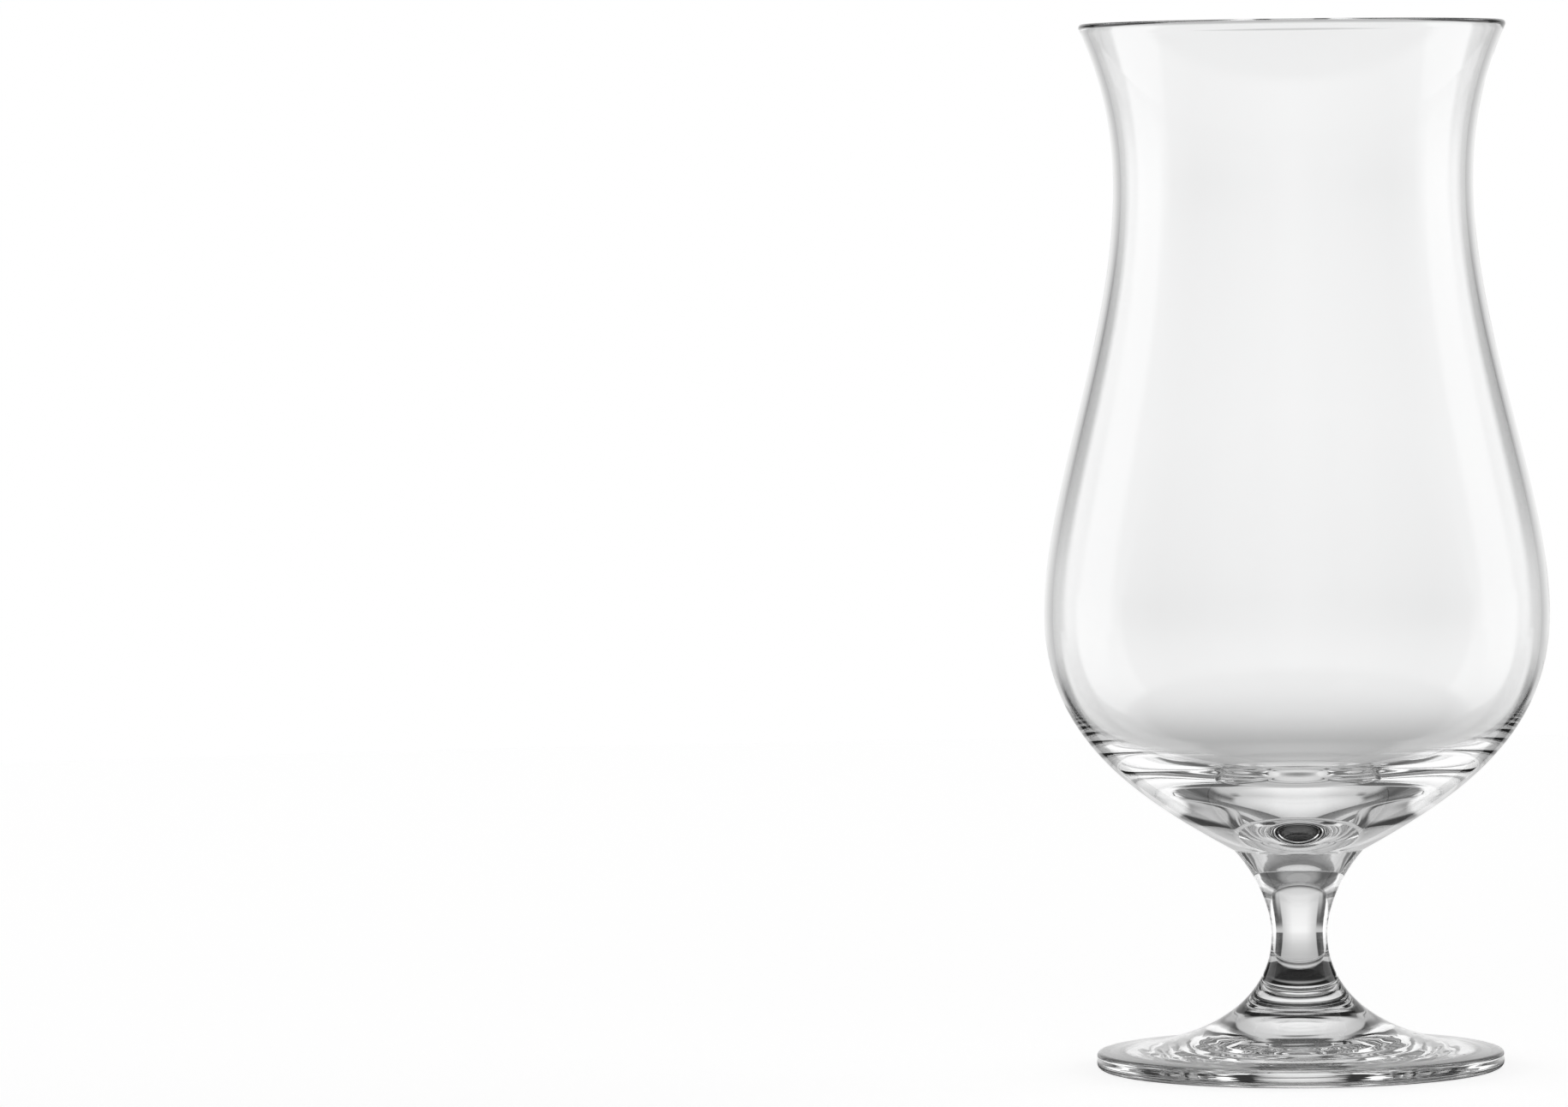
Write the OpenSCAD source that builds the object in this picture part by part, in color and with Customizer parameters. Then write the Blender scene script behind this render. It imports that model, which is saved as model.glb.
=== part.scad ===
// Footed hurricane glass in clear glass: a thin tulip bowl on a heavy base, a short solid stem and a
// round foot. The three gathers are fused to each other face to face.
// Millimetres, +Z up. The origin is the centre of the foot's ring, on the table.
// Every outline is a half section: [distance from the axis, height].

/* [Bowl] */
// Height of the bowl, from the stem to the rim
bowl_h = 146.2; // [130:0.1:165]
// Widest diameter across the rounded lip
rim_d = 75.2; // [68:0.1:84]
// Lean of the wall outwards at the lip, in degrees from upright
rim_lean = 24; // [10:1:35]
// Thickness of the wall at the lip
rim_wall = 1.3; // [0.9:0.1:2]
// Outside diameter at the waist
waist_d = 63.4; // [56:0.1:67]
// Height from the waist to the rim
waist_drop = 28.5; // [20:0.1:40]
// Thickness of the wall at the waist
waist_wall = 1.4; // [1:0.1:2.2]
// Outside diameter at the belly, the widest place
belly_d = 89.2; // [87:0.1:92]
// Height from the stem to the belly
belly_rise = 41.9; // [39:0.1:43]
// Thickness of the wall at the belly
belly_wall = 1.5; // [1.3:0.1:2.2]
// Thickness of the base on the axis, from the stem to the floor of the bowl
base_t = 5; // [3.5:0.1:8]
// Diameter of the shoulder inside the bowl, where its side turns into its floor
shoulder_d = 48; // [44:0.1:49]
// Height from the stem to the shoulder
shoulder_rise = 13.4; // [13.2:0.1:16]
// Lean of the inside at the shoulder, in degrees from upright
shoulder_lean = 71.5; // [66:0.5:72]
// Lean of the underside where it meets the stem, in degrees from upright
base_lean = 61; // [59:1:66]

/* [Stem] */
// Length of the stem, from the foot to the bowl
stem_h = 24.6; // [18:0.1:45]
// Diameter of the stem where it is fused to the bowl
stem_top_d = 22.8; // [22:0.1:26]
// Lean of the stem's side under the bowl, in degrees from upright
stem_top_lean = 42; // [25:1:50]
// Diameter at the neck, the thinnest place
neck_d = 9.8; // [8:0.1:13]
// Height from the foot to the neck
neck_rise = 9.8; // [7:0.1:12]

/* [Foot] */
// Height of the foot, from the table to the stem
foot_h = 14.2; // [11:0.1:20]
// Diameter of the foot
foot_d = 72; // [64:0.1:82]
// Diameter of the foot's crown where it is fused to the stem
crown_d = 16.2; // [14:0.1:20]
// Lean of the crown's side there, in degrees from upright
crown_lean = 37; // [25:1:45]
// Height of the foot at its edge
edge_h = 3.3; // [2.8:0.1:5]
// Slope of the foot's top at its edge, in degrees from level
edge_slope = 4; // [0:1:10]
// Radius of the edge's upper corner
edge_top_r = 0.9; // [0.5:0.1:1.2]
// Height of the edge's lower corner, which rolls in under the foot
edge_low_h = 1.3; // [0.8:0.1:1.5]
// Distance that the lower corner rolls in
edge_low_w = 2.6; // [1:0.1:4]
// Width of the flat ring that stands on the table
ring_w = 1.8; // [1:0.1:5]
// Height of the hollow under the foot, on the axis
hollow_h = 2.2; // [0.5:0.1:4]

/* [Smoothness] */
// Number of straight runs in each curve of an outline
curve_runs = 16; // [12:4:48]
// Number of straight runs in each rounded corner
corner_runs = 8; // [4:2:16]
// Number of sides in a full turn
turn_sides = 128; // [64:32:256]

/* [Hidden] */

glass_tint = [0.90, 0.95, 0.95, 0.45];

// How far a curve keeps to the direction of each of its ends, as shares of the distance between them
rim_pull_share = 0.34;
waist_top_pull_share = 0.37;
waist_low_pull_share = 0.34;
belly_top_pull_share = 0.28;
belly_low_pull_share = 0.41;
base_pull_share = 0.36;
inner_belly_pull_share = 0.47;
shoulder_top_pull_share = 0.36;
shoulder_low_pull_share = 0.25;
floor_pull_share = 0.25;
stem_top_pull_share = 0.48;
neck_top_pull_share = 0.16;
neck_low_pull_share = 0.37;
crown_top_pull_share = 0.33;
crown_low_pull_share = 0.28;
edge_pull_share = 0.42;

// Heights above the table
stem_low_z = foot_h;
stem_top_z = stem_low_z + stem_h;
rim_z = stem_top_z + bowl_h;
waist_z = rim_z - waist_drop;
belly_z = stem_top_z + belly_rise;
floor_z = stem_top_z + base_t;
shoulder_z = stem_top_z + shoulder_rise;
neck_z = stem_low_z + neck_rise;

// Radii
lip_r = rim_wall / 2;
rim_r = rim_d / 2;
waist_r = waist_d / 2;
belly_r = belly_d / 2;
shoulder_r = shoulder_d / 2;
stem_top_r = stem_top_d / 2;
neck_r = neck_d / 2;
crown_r = crown_d / 2;
foot_r = foot_d / 2;
ring_outer_r = foot_r - edge_low_w;
ring_inner_r = ring_outer_r - ring_w;

up = [0, 1];
down = [0, -1];
inwards = [-1, 0];

// A direction that leans outwards from upright
function leaning(degrees) = [sin(degrees), cos(degrees)];

// A smooth curve that leaves one point along the first direction and reaches the other along the second
function curve(from, leaves, leave_share, to, arrives, arrive_share) =
    let (
        reach = norm(to - from),
        near = from + leaves * leave_share * reach,
        far = to - arrives * arrive_share * reach
    )
    [
        for (i = [0 : curve_runs])
            let (t = i / curve_runs, s = 1 - t)
            s * s * s * from + 3 * s * s * t * near + 3 * s * t * t * far + t * t * t * to
    ];

// A rounded corner about a centre, between two angles counted from straight outwards
function corner(centre, wide, high, first, last) = [
    for (i = [0 : corner_runs])
        let (angle = first + (last - first) * i / corner_runs)
        centre + [wide * cos(angle), high * sin(angle)]
];

// The same points without the first one, on which the run before them ends
function rest(points) = [for (i = [1 : len(points) - 1]) points[i]];

// The lip is a half round as thick as the wall, turned with the wall's lean
lip = corner([rim_r - lip_r, rim_z - lip_r], lip_r, lip_r, -rim_lean, 180 - rim_lean);
lip_outer = lip[0];
lip_inner = lip[corner_runs];

base_edge = [stem_top_r, stem_top_z];
belly_outer = [belly_r, belly_z];
belly_inner = [belly_r - belly_wall, belly_z];
waist_outer = [waist_r, waist_z];
waist_inner = [waist_r - waist_wall, waist_z];
shoulder = [shoulder_r, shoulder_z];
bowl_floor = [0, floor_z];

bowl_outside = concat(
    curve(base_edge, leaning(base_lean), base_pull_share, belly_outer, up, belly_low_pull_share),
    rest(curve(belly_outer, up, belly_top_pull_share, waist_outer, up, waist_low_pull_share)),
    rest(curve(waist_outer, up, waist_top_pull_share, lip_outer, leaning(rim_lean), rim_pull_share))
);
bowl_inside = concat(
    rest(curve(lip_inner, -leaning(rim_lean), rim_pull_share, waist_inner, down, waist_top_pull_share)),
    rest(curve(waist_inner, down, waist_low_pull_share, belly_inner, down, belly_top_pull_share)),
    rest(curve(
        belly_inner, down, inner_belly_pull_share,
        shoulder, -leaning(shoulder_lean), shoulder_top_pull_share
    )),
    rest(curve(
        shoulder, -leaning(shoulder_lean), shoulder_low_pull_share,
        bowl_floor, inwards, floor_pull_share
    ))
);

crown_edge = [crown_r, stem_low_z];
neck_side = [neck_r, neck_z];
stem_side = concat(
    curve(crown_edge, leaning(-crown_lean), crown_top_pull_share, neck_side, up, neck_low_pull_share),
    rest(curve(neck_side, up, neck_top_pull_share, base_edge, leaning(stem_top_lean), stem_top_pull_share))
);

// The foot's top flares out from the crown until its edge turns down
edge_top = corner([foot_r - edge_top_r, edge_h - edge_top_r], edge_top_r, edge_top_r, 90 - edge_slope, 0);
edge_low = corner([ring_outer_r, edge_low_h], edge_low_w, edge_low_h, 0, -90);
foot_top = curve(
    crown_edge, -leaning(-crown_lean), crown_low_pull_share,
    edge_top[0], leaning(90 + edge_slope), edge_pull_share
);

// The hollow under the foot is part of a ball, from the ring up to its height on the axis
hollow_r = (ring_inner_r * ring_inner_r + hollow_h * hollow_h) / (2 * hollow_h);
hollow_spread = asin(ring_inner_r / hollow_r);
hollow = corner([0, hollow_h - hollow_r], hollow_r, hollow_r, 90 - hollow_spread, 90);

module turned(outline) {
    rotate_extrude($fn = turn_sides)
        polygon(outline);
}

module bowl() {
    color(glass_tint)
        turned(concat([[0, stem_top_z]], bowl_outside, rest(lip), bowl_inside));
}

module stem() {
    color(glass_tint)
        turned(concat([[0, stem_low_z]], stem_side, [[0, stem_top_z]]));
}

module foot() {
    color(glass_tint)
        turned(concat([[0, foot_h]], foot_top, rest(edge_top), edge_low, hollow));
}

bowl();
stem();
foot();
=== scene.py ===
import math
import bpy
from mathutils import Matrix, Vector


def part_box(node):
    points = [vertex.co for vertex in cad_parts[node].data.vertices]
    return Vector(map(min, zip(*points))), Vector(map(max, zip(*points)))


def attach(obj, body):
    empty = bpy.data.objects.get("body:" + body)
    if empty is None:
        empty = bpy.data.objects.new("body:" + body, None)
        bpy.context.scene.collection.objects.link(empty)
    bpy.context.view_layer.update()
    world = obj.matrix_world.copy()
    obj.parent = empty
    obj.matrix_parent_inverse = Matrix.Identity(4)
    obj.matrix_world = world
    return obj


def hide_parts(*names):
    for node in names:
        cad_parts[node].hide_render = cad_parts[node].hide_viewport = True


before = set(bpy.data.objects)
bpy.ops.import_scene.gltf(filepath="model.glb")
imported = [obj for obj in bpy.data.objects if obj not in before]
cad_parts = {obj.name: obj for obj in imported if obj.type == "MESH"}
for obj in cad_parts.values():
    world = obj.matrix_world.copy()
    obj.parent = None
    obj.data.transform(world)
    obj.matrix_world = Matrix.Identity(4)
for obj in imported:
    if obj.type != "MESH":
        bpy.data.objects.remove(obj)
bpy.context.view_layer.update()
mm = 0.001

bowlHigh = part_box("bowl")[1]
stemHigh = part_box("stem")[1]
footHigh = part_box("foot")[1]
print("frame loaded:", ", ".join(sorted(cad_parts)))


# A node setup

class Wire:    # a socket that can be used in sums
    def __init__(self, shader, socket):
        self.shader = shader
        self.socket = socket

    def blend(self, operation, first, second):
        return self.shader.sum(operation, first, second)

    def __add__(self, other):
        return self.blend("ADD", self, other)

    def __radd__(self, other):
        return self.blend("ADD", other, self)

    def __sub__(self, other):
        return self.blend("SUBTRACT", self, other)

    def __rsub__(self, other):
        return self.blend("SUBTRACT", other, self)

    def __mul__(self, other):
        return self.blend("MULTIPLY", self, other)

    def __truediv__(self, other):
        return self.blend("DIVIDE", self, other)

    def __pow__(self, other):
        return self.blend("POWER", self, other)


class Shader:    # one node tree, and the nodes that are put in it
    def __init__(self, owner):
        owner.use_nodes = True
        self.tree = owner.node_tree
        self.tree.nodes.clear()

    def add(self, kind, settings=None, inputs=None, output=0):
        node = self.tree.nodes.new(kind)
        for name, value in (settings or {}).items():
            if name == "ramp":
                stops = node.color_ramp.elements
                while len(stops) < len(value):
                    stops.new(1)
                for stop, (place, shade) in zip(stops, value):
                    stop.position = place
                    stop.color = (shade, shade, shade, 1)
            else:
                setattr(node, name, value)
        for name, value in (inputs or {}).items():
            if isinstance(value, Wire):
                self.tree.links.new(value.socket, node.inputs[name])
            else:
                node.inputs[name].default_value = value
        if isinstance(output, tuple):
            return [Wire(self, node.outputs[one]) for one in output]
        return Wire(self, node.outputs[output]) if node.outputs else node

    def sum(self, operation, first, second=0.0):
        return self.add("ShaderNodeMath", {"operation": operation}, {0: first, 1: second})

    def split(self, vector):
        return self.add("ShaderNodeSeparateXYZ", {}, {0: vector}, (0, 1, 2))

    def step(self, value, start, end, low=0.0, high=1.0):    # a smooth step between two values
        return self.add("ShaderNodeMapRange", {"interpolation_type": "SMOOTHSTEP"},
                        {"Value": value, "From Min": start, "From Max": end, "To Min": low, "To Max": high})


# Turning a half section into a glass form

turning = {
    "steps": 256,        # round the axis
    "spacing": 1.0,      # mm between rings along the outline
    "fewest": 8,         # rings in a short stretch
    "merge": 1e-6,       # metres
    "sharp": 40,         # degrees
}
third = 1 / 3       # the pull of a straight line or a flat arc
quarter = 0.3905    # the pull of a quarter circle


def selectNothing():
    if bpy.context.mode != "OBJECT":
        bpy.ops.object.mode_set(mode="OBJECT")
    bpy.ops.object.select_all(action="DESELECT")


# An anchor of an outline is a radius, a height, the heading of the line there (0 is up and 90 outwards)
# and its pull: how far the line keeps to that heading before and after, as shares of the distance to the
# next anchor. Where the pull is 0, the line runs straight.
def anchor(radius, height, heading=0, before=0.0, after=0.0):
    return {"at": Vector((radius, 0, height)), "heading": heading, "before": before, "after": after}


def handle(this, other, share, sign):
    if share == 0:
        return this["at"].lerp(other["at"], third)
    turn = math.radians(this["heading"])
    reach = (other["at"] - this["at"]).length
    return this["at"] + Vector((math.sin(turn), 0, math.cos(turn))) * sign * share * reach


def drawStretch(one, two):    # the line from one anchor to the next, as a Bezier curve
    bpy.ops.curve.primitive_bezier_curve_add(location=(0, 0, 0))
    line = bpy.context.active_object
    spline = line.data.splines[0]
    length = (two["at"] - one["at"]).length
    spline.resolution_u = max(turning["fewest"], round(length / (turning["spacing"] * mm)))
    first, last = spline.bezier_points
    for point, place in [(first, one["at"]), (last, two["at"])]:
        point.handle_left_type = point.handle_right_type = "FREE"
        point.co = point.handle_left = point.handle_right = place
    first.handle_right = handle(one, two, one["after"], 1)
    last.handle_left = handle(two, one, two["before"], -1)
    return line


def turned(name, anchors):
    selectNothing()
    lines = [drawStretch(one, two) for one, two in zip(anchors, anchors[1:])]
    for line in lines:
        line.select_set(True)
    bpy.ops.object.convert(target="MESH")
    bpy.ops.object.join()
    piece = bpy.context.active_object
    piece.name = piece.data.name = name
    bpy.ops.object.mode_set(mode="EDIT")
    bpy.ops.mesh.select_all(action="SELECT")
    bpy.ops.mesh.remove_doubles(threshold=turning["merge"])
    bpy.ops.object.mode_set(mode="OBJECT")
    screw = piece.modifiers.new("turn", "SCREW")
    screw.angle = 2 * math.pi
    screw.steps = screw.render_steps = turning["steps"]
    screw.use_merge_vertices = True
    screw.merge_threshold = turning["merge"]
    bpy.ops.object.modifier_apply(modifier=screw.name)
    bpy.ops.object.mode_set(mode="EDIT")
    bpy.ops.mesh.select_all(action="SELECT")
    bpy.ops.mesh.remove_doubles(threshold=turning["merge"])
    bpy.ops.mesh.normals_make_consistent(inside=False)
    bpy.ops.object.mode_set(mode="OBJECT")
    bpy.ops.object.shade_smooth_by_angle(angle=math.radians(turning["sharp"]))
    return piece


# The bowl

bowlShape = {
    "rimRadius": 37.6,
    "rimLean": 24,
    "rimWall": 1.3,
    "waistRadius": 31.7,
    "waistDrop": 28.5,
    "waistWall": 1.4,
    "bellyRise": 41.9,
    "bellyWall": 1.5,
    "shoulderRadius": 24,    # where the side of the inside turns into its floor
    "shoulderRise": 13.4,
    "shoulderLean": 71.5,
    "baseThick": 5,
    "baseLean": 61,
    "basePull": 0.36,
    "bellyLowPull": 0.41,
    "bellyTopPull": 0.28,
    "waistLowPull": 0.34,
    "waistTopPull": 0.37,
    "rimPull": 0.34,
    "innerBellyPull": 0.47,
    "shoulderTopPull": 0.36,
    "shoulderLowPull": 0.25,
    "floorPull": 0.25,
}


def makeBowl():
    shape = bowlShape
    low, high, belly = stemHigh.z, bowlHigh.z, bowlHigh.x
    bellyZ, waistZ = low + shape["bellyRise"] * mm, high - shape["waistDrop"] * mm
    waist, waistInner = shape["waistRadius"] * mm, (shape["waistRadius"] - shape["waistWall"]) * mm
    bellyInner = belly - shape["bellyWall"] * mm
    lip, lean = shape["rimWall"] / 2 * mm, math.radians(shape["rimLean"])
    lipMiddle = Vector((shape["rimRadius"] * mm - lip, high - lip))
    across = Vector((math.cos(lean), -math.sin(lean))) * lip
    along = Vector((math.sin(lean), math.cos(lean))) * lip
    outer, top, inner = lipMiddle + across, lipMiddle + along, lipMiddle - across
    shoulder, shoulderZ = shape["shoulderRadius"] * mm, low + shape["shoulderRise"] * mm
    return turned("glassBowl", [
        anchor(0, low),
        anchor(stemHigh.x, low, shape["baseLean"], 0, shape["basePull"]),
        anchor(belly, bellyZ, 0, shape["bellyLowPull"], shape["bellyTopPull"]),
        anchor(waist, waistZ, 0, shape["waistLowPull"], shape["waistTopPull"]),
        anchor(outer.x, outer.y, shape["rimLean"], shape["rimPull"], quarter),
        anchor(top.x, top.y, shape["rimLean"] - 90, quarter, quarter),
        anchor(inner.x, inner.y, shape["rimLean"] - 180, quarter, shape["rimPull"]),
        anchor(waistInner, waistZ, -180, shape["waistTopPull"], shape["waistLowPull"]),
        anchor(bellyInner, bellyZ, -180, shape["bellyTopPull"], shape["innerBellyPull"]),
        anchor(shoulder, shoulderZ, shape["shoulderLean"] - 180,
               shape["shoulderTopPull"], shape["shoulderLowPull"]),
        anchor(0, low + shape["baseThick"] * mm, -90, shape["floorPull"], 0),
    ])


# The stem

stemShape = {
    "topLean": 42,
    "neckRadius": 4.9,
    "neckRise": 9.8,
    "crownRadius": 8.1,
    "crownLean": 37,
    "crownPull": 0.33,
    "neckLowPull": 0.37,
    "neckTopPull": 0.16,
    "topPull": 0.48,
}


def makeStem():
    shape = stemShape
    low, high = footHigh.z, stemHigh.z
    neck, neckZ = shape["neckRadius"] * mm, low + shape["neckRise"] * mm
    return turned("glassStem", [
        anchor(0, low),
        anchor(shape["crownRadius"] * mm, low, -shape["crownLean"], 0, shape["crownPull"]),
        anchor(neck, neckZ, 0, shape["neckLowPull"], shape["neckTopPull"]),
        anchor(stemHigh.x, high, shape["topLean"], shape["topPull"], 0),
        anchor(0, high),
    ])


# The foot

footShape = {
    "edgeHigh": 3.3,
    "edgeSlope": 4,
    "edgeTopRadius": 0.9,
    "edgeLowHigh": 1.3,
    "edgeLowWide": 2.6,
    "ringWide": 1.8,
    "hollow": 2.2,
    "crownPull": 0.28,
    "edgePull": 0.42,
}


def makeFoot():
    shape = footShape
    crown, outer = stemShape["crownRadius"] * mm, footHigh.x
    topRadius, edge = shape["edgeTopRadius"] * mm, shape["edgeHigh"] * mm
    slope = math.radians(shape["edgeSlope"])
    cornerIn = outer - topRadius
    cornerLow = edge - topRadius
    start = Vector((cornerIn + topRadius * math.sin(slope), cornerLow + topRadius * math.cos(slope)))
    ringOuter = outer - shape["edgeLowWide"] * mm
    ringInner = ringOuter - shape["ringWide"] * mm
    hollow = shape["hollow"] * mm
    spread = math.degrees(2 * math.atan(hollow / ringInner))
    return turned("glassFoot", [
        anchor(0, footHigh.z),
        anchor(crown, footHigh.z, 180 - stemShape["crownLean"], 0, shape["crownPull"]),
        anchor(start.x, start.y, 90 + shape["edgeSlope"], shape["edgePull"], quarter),
        anchor(outer, cornerLow, 180, quarter, 0),
        anchor(outer, shape["edgeLowHigh"] * mm, 180, 0, quarter),
        anchor(ringOuter, 0, -90, quarter, 0),
        anchor(ringInner, 0, -90 + spread, 0, third),
        anchor(0, hollow, -90, third, 0),
    ])


# Clear glass, a little wavy, with faint wiping marks. The foot has tool rings, and its underside is frosted
# where it stands.

glassLook = {
    "colour": (0.9875, 0.989, 0.9895, 1),
    "ior": 1.5,
    "waves": 14,             # per metre
    "waveDetail": 1.0,
    "waveDepth": 0.00004,    # metres
    "marks": 45,             # per metre
    "markDetail": 4.0,
    "markEdge": (0.62, 0.8),
    "markRough": 0.012,
}
toolRings = {
    "spacing": 2.6,              # mm
    "wander": 0.8,               # of the spacing
    "wanders": 60.0,             # per metre
    "depth": 0.000006,           # metres
    "frostTop": (0.05, 0.2),     # mm above the table
    "frost": 0.45,
}


def makeGlass(name, rings=False):
    look = glassLook
    material = bpy.data.materials.new(name)
    shader = Shader(material)
    place = shader.add("ShaderNodeTexCoord", output="Object")
    wave = shader.add("ShaderNodeTexNoise", {}, {
        "Vector": place, "Scale": look["waves"], "Detail": look["waveDetail"]})
    height = wave * look["waveDepth"]
    mark = shader.add("ShaderNodeTexNoise", {}, {
        "Vector": place, "Scale": look["marks"], "Detail": look["markDetail"]})
    rough = shader.step(mark, *look["markEdge"]) * look["markRough"]
    if rings:
        across, along, rise = shader.split(place)
        out = shader.sum("SQRT", across * across + along * along) / mm
        wander = shader.add("ShaderNodeTexNoise", {}, {"Vector": place, "Scale": toolRings["wanders"]})
        turn = (out / toolRings["spacing"] + wander * toolRings["wander"]) * (2 * math.pi)
        height = height + shader.sum("SINE", turn) * toolRings["depth"]
        frost = shader.step(rise / mm, *toolRings["frostTop"], toolRings["frost"], 0)
        rough = shader.sum("MAXIMUM", rough, frost)
    bump = shader.add("ShaderNodeBump", {}, {"Height": height, "Strength": 1.0, "Distance": 1.0})
    glass = shader.add("ShaderNodeBsdfPrincipled", {}, {
        "Base Color": look["colour"],
        "Roughness": rough,
        "IOR": look["ior"],
        "Transmission Weight": 1.0,
        "Normal": bump,
    })
    shader.add("ShaderNodeOutputMaterial", {}, {"Surface": glass})
    return material


# Where two gathers are fused, nothing shows

fusing = {
    "flat": 0.999,     # of a face's normal, upright
    "near": 0.00001,   # metres from the height of the joint
}


def makeSeam(name):
    material = bpy.data.materials.new(name)
    shader = Shader(material)
    clear = shader.add("ShaderNodeBsdfPrincipled", {}, {"Alpha": 0.0, "IOR": 1.0, "Roughness": 1.0})
    shader.add("ShaderNodeOutputMaterial", {}, {"Surface": clear})
    return material


def paint(piece, glass, seam, seamHeights):
    piece.data.materials.clear()
    piece.data.materials.append(glass)
    piece.data.materials.append(seam)
    for face in piece.data.polygons:
        flat = abs(face.normal.z) > fusing["flat"]
        fused = any(abs(face.center.z - height) < fusing["near"] for height in seamHeights)
        face.material_index = 1 if flat and fused else 0


# The room, as the glass sees it: a pale backdrop that fades to grey, a dark gap, a softbox at each side,
# grey behind the camera, and dim above. Sideways counts in degrees from straight behind the glass, left and
# right alike, and upwards from level. The eye sees plain white.
# The floor is pale to the eye. To the glass it glows with painted light: darker in front, brighter at the
# sides where the softboxes' light falls, lighter seen from above, and darker along the gap as painted
# shade. At a low angle it runs into the walls of the room as a painted reflection, and right under the foot
# a painted shadow makes it dark.

roomLook = {
    "brightest": 1.2,
    "walls": [    # degrees sideways, and how bright against the brightest
        (0, 0.79), (9, 0.78), (20, 0.58), (28, 0.45), (44, 0.42), (48, 1.0), (84, 1.0),
        (88, 0.55), (112, 0.34), (135, 0.4), (180, 0.62)],
    "gap": 0.04,
    "gapStart": (24.5, 27.5),  # sideways
    "gapEnd": (43.5, 46.5),    # sideways
    "gapLow": (0, 9),          # upwards
    "dimmer": 0.64,
    "dimmerEdge": (2, 38),     # upwards
    "dimmerSide": (30, 38),    # sideways
    "wallTop": (30, 36),       # upwards
    "upper": 0.09,
    "ceilingEdge": (60, 75),   # upwards
    "ceiling": 0.36,
}
floorLook = {
    "radius": 0.9,                     # metres
    "sides": 128,
    # at a low angle the floor takes the level of the walls: a painted reflection of the room
    "lowAngle": (0.45, 0.97),          # from the floor as it is nearby to the walls of the room
    # painted light on the floor near the glass: darker in front, brighter at the sides where the softboxes'
    # light falls, lighter seen from above
    "front": 0.46,
    "side": 0.9,
    "sideEdge": (35, 60),              # degrees sideways
    "steep": 0.7,                      # as it is seen from above
    "steepAngle": (0.45, 0.2),
    # painted shadow under the foot, nearly black, seen only in the glass
    "shade": 0.005,                    # under the foot
    "shadeEdge": (37, 44),             # mm
    # the same painted shadow, smaller, as seen from above
    "steepShade": 0.01,                # under the foot, from above
    "steepShadeEdge": (12, 19),        # mm
    "steepShadeAngle": (0.32, 0.15),
    # painted shade: a darker wedge of floor along the gap
    "gap": 0.05,
    "gapEdge": (560, 320),             # mm
    "paint": 0.8,
    "haze": 0.75,                      # what the eye sees beside the paint
}


def mixed(share, first, second):    # two levels, mixed by a share
    return first + share * (second - first)


def sidewaysAngle(shader, across, along):
    return shader.sum("DEGREES", shader.sum("ARCTAN2", shader.sum("ABSOLUTE", across), along))


def wallLevel(shader, sideways):
    stops = [(angle / 180, level) for angle, level in roomLook["walls"]]
    wall = shader.add("ShaderNodeValToRGB", {"ramp": stops}, {"Fac": sideways / 180})
    return wall * roomLook["brightest"]


def isInGap(shader, sideways):
    isPastStart = shader.step(sideways, *roomLook["gapStart"])
    return isPastStart * shader.step(sideways, *roomLook["gapEnd"], 1, 0)


# The floor's painted light: brighter at the sides than in front, lighter seen from above, and at a low
# angle a painted reflection of the walls
def floorLevel(shader, sideways, lowAngle):
    look = floorLook
    near = mixed(shader.step(sideways, *look["sideEdge"]), look["front"], look["side"])
    near = mixed(shader.step(lowAngle, *look["steepAngle"]), near, look["steep"])
    start, end = look["lowAngle"]
    far = shader.sum("MAXIMUM", lowAngle - start, 0) / (end - start)
    return mixed(shader.sum("MINIMUM", far, 1) ** 2, near, wallLevel(shader, sideways))


def makeWorld():
    look = roomLook
    world = bpy.data.worlds.new("studio")
    bpy.context.scene.world = world
    shader = Shader(world)
    isCamera = shader.add("ShaderNodeLightPath", output="Is Camera Ray")
    across, along, rise = shader.split(shader.add("ShaderNodeTexCoord", output="Generated"))
    upwards = shader.sum("DEGREES", shader.sum("ARCSINE", rise))
    sideways = sidewaysAngle(shader, across, along)
    level = floorLevel(shader, sideways, shader.sum("MINIMUM", rise, 0) + 1)
    level = mixed(isInGap(shader, sideways) * shader.step(upwards, *look["gapLow"]), level, look["gap"])
    isBehind = shader.step(sideways, *look["dimmerSide"], 1, 0)
    level = mixed(shader.step(upwards, *look["dimmerEdge"]) * isBehind, level, look["dimmer"])
    level = mixed(shader.step(upwards, *look["wallTop"]), level, look["upper"])
    level = mixed(shader.step(upwards, *look["ceilingEdge"]), level, look["ceiling"])
    room = shader.add("ShaderNodeBackground", {}, {"Color": level, "Strength": 1.0})
    white = shader.add("ShaderNodeBackground", {}, {"Color": (1, 1, 1, 1), "Strength": 1.0})
    both = shader.add("ShaderNodeMixShader", {}, {0: isCamera, 1: room, 2: white})
    shader.add("ShaderNodeOutputWorld", {}, {"Surface": both})


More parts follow.
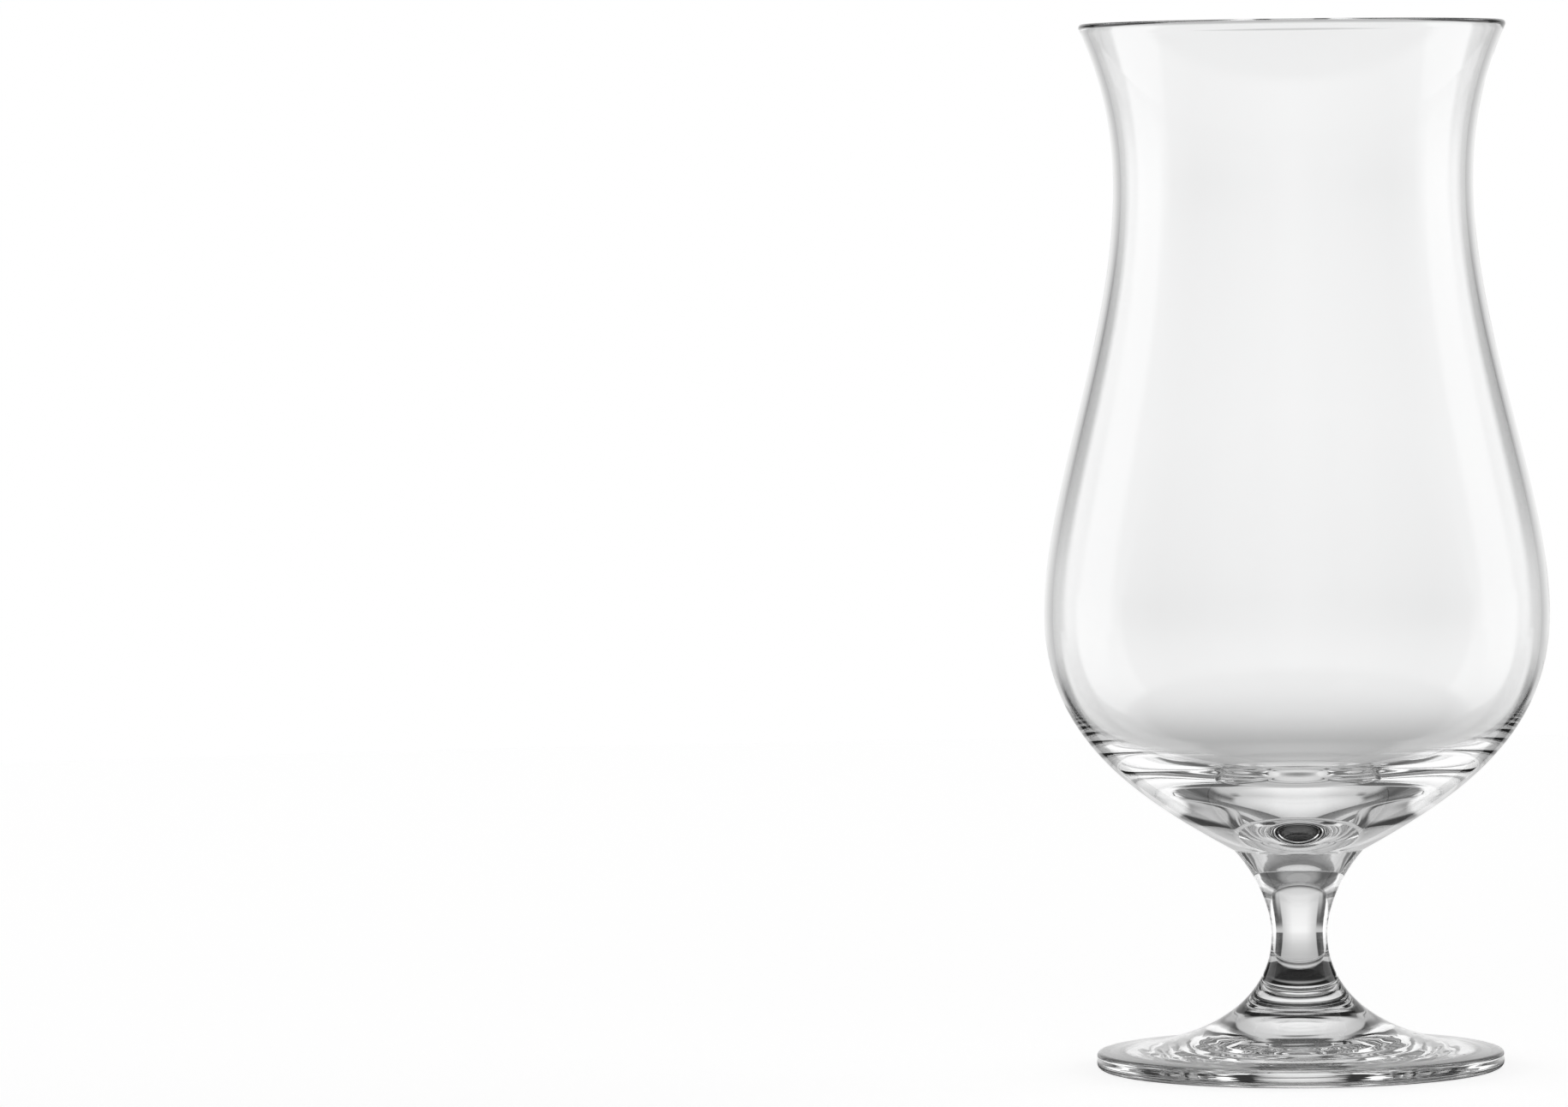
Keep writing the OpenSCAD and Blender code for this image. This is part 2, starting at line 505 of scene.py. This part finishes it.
def makeFloor():
    look = floorLook
    selectNothing()
    bpy.ops.mesh.primitive_circle_add(
        vertices=look["sides"], radius=look["radius"], fill_type="NGON", location=(0, 0, 0))
    floor = bpy.context.active_object
    floor.name = floor.data.name = "floor"
    material = bpy.data.materials.new("paleFloor")
    shader = Shader(material)
    across, along, _ = shader.split(shader.add("ShaderNodeTexCoord", output="Object"))
    lowAngle = shader.add("ShaderNodeLayerWeight", {}, {"Blend": 0.5}, "Facing")
    sideways = sidewaysAngle(shader, across, along)
    out = shader.sum("SQRT", across * across + along * along) / mm
    isSteep = shader.step(lowAngle, *look["steepShadeAngle"])
    # painted shade along the gap, left out for rays from above
    inGap = isInGap(shader, sideways) * shader.step(out, *look["gapEdge"]) * (1 - isSteep)
    level = mixed(inGap, floorLevel(shader, sideways, lowAngle), look["gap"])
    # painted shadow under the foot: nearly black inside shadeEdge, and inside the smaller steepShadeEdge
    # for rays from above
    shade = mixed(shader.step(out, *look["shadeEdge"]), look["shade"], level)
    steepShade = mixed(shader.step(out, *look["steepShadeEdge"]), look["steepShade"], level)
    level = mixed(isSteep, shade, steepShade)
    # what the glass sees of the floor glows with this painted light and shade instead of being lit
    paintedLightInGlass = shader.add("ShaderNodeEmission", {}, {"Color": level, "Strength": 1.0})
    paintColour = [look["paint"]] * 3 + [1]
    matt = shader.add("ShaderNodeBsdfDiffuse", {}, {"Color": paintColour})
    haze = shader.add("ShaderNodeEmission", {}, {"Strength": look["haze"]})
    pale = shader.add("ShaderNodeAddShader", {}, {0: matt, 1: haze})
    isCamera = shader.add("ShaderNodeLightPath", output="Is Camera Ray")
    isGlass = (shader.add("ShaderNodeLightPath", output="Is Glossy Ray")
               + shader.add("ShaderNodeLightPath", output="Is Transmission Ray"))
    other = shader.add("ShaderNodeMixShader", {}, {0: isGlass, 1: matt, 2: paintedLightInGlass})
    both = shader.add("ShaderNodeMixShader", {}, {0: isCamera, 1: other, 2: pale})
    shader.add("ShaderNodeOutputMaterial", {}, {"Surface": both})
    floor.data.materials.append(material)


# The camera stands a little below the rim

cameraPlace = {
    "frameWide": 1830,      # pixels
    "pixelsPerMm": 6.602,   # at the axis of the glass
    "sensor": 36,           # mm
    "away": 1.538,          # metres
    "high": 0.1596,
    "pan": 3.372,           # degrees to the left, so that the glass stands at the right
    "tilt": -2.511,
    "roll": -0.648,
    "sight": 20,            # metres
}
lightPaths = {
    "bounces": 96,          # so many that light runs down the wall of the bowl and out
    "clearBounces": 32,
}


def makeCamera():
    place = cameraPlace
    bpy.ops.object.camera_add(location=(0, -place["away"], place["high"]))
    camera = bpy.context.active_object
    camera.name = "camera"
    turn = (Matrix.Rotation(math.radians(place["pan"]), 4, "Z")
            @ Matrix.Rotation(math.radians(90 + place["tilt"]), 4, "X")
            @ Matrix.Rotation(math.radians(place["roll"]), 4, "Z"))
    camera.rotation_euler = turn.to_euler()
    camera.data.sensor_width = place["sensor"]
    camera.data.lens = place["pixelsPerMm"] / mm * place["away"] / place["frameWide"] * place["sensor"]
    camera.data.clip_end = place["sight"]
    bpy.context.scene.camera = camera


selectNothing()
makeCamera()
glassBowl = makeBowl()
glassStem = makeStem()
glassFoot = makeFoot()
print("glass turned")

clearSeam = makeSeam("fusedSeam")
paint(glassBowl, makeGlass("bowlGlass"), clearSeam, [stemHigh.z])
paint(glassStem, makeGlass("stemGlass"), clearSeam, [stemHigh.z, footHigh.z])
paint(glassFoot, makeGlass("footGlass", rings=True), clearSeam, [footHigh.z])
for piece, node, slotName in [
        (glassBowl, "bowl", "bowl_glass"),
        (glassStem, "stem", "stem_glass"),
        (glassFoot, "foot", "foot_glass")]:
    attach(piece, "root")
    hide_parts(node)
print("glass painted")

makeFloor()
makeWorld()

scene = bpy.context.scene
scene.view_settings.view_transform = "Standard"
scene.cycles.max_bounces = lightPaths["bounces"]
scene.cycles.transmission_bounces = lightPaths["bounces"]
scene.cycles.glossy_bounces = lightPaths["bounces"]
scene.cycles.transparent_max_bounces = lightPaths["clearBounces"]
print("studio set")
